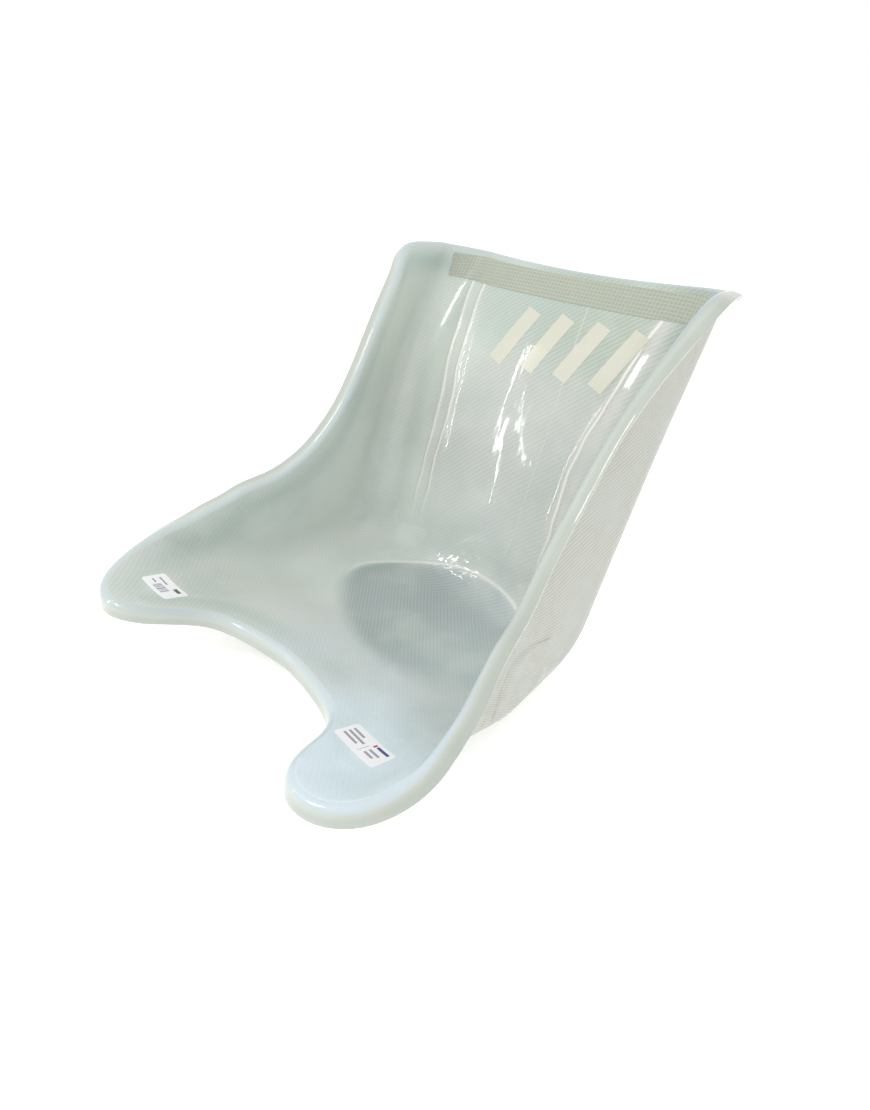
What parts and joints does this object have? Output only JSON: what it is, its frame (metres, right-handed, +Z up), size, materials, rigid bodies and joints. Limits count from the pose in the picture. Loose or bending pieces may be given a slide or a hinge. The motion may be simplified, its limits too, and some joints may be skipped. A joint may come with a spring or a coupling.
{
  "type": "kart seat",
  "caption": "One-piece bucket seat shell for a racing kart: laminated glass fibre with leg lobes, a notch between the legs, high hip walls, a raked back and a rolled edge.",
  "frame": {"origin": "middle of the flat underside of the seat pan, on the plane the seat rests on", "axes": "+Z up, -Y the way the occupant faces, +X to the occupant's left; the YZ plane is the plane of symmetry"},
  "size_m": [0.4176, 0.5349, 0.366],
  "materials": {
    "laminate": "translucent glass-fibre laminate, gloss gelcoat inside, satin weave outside",
    "core": "resin-soaked glass mat, translucent",
    "roving": "resin-rich cream edge, gloss",
    "tape": "plain-weave glass tape under resin",
    "film": "thin translucent cream film",
    "label": "printed white label, satin"
  },
  "bodies": {
    "root": {"inner_skin": "laminate", "outer_skin": "laminate", "edge_roving": "roving", "seat_pan_ply": "core", "thigh_ply_left": "core", "thigh_ply_right": "core", "hip_ply_left": "core", "hip_ply_right": "core", "back_wing_ply_left": "core", "back_wing_ply_right": "core", "back_centre_ply": "core", "hip_patch_left": "laminate", "hip_patch_right": "laminate", "top_edge_tape": "tape", "emblem_film": "film", "label_left": "label", "label_right": "label"}
  },
  "joints": []
}
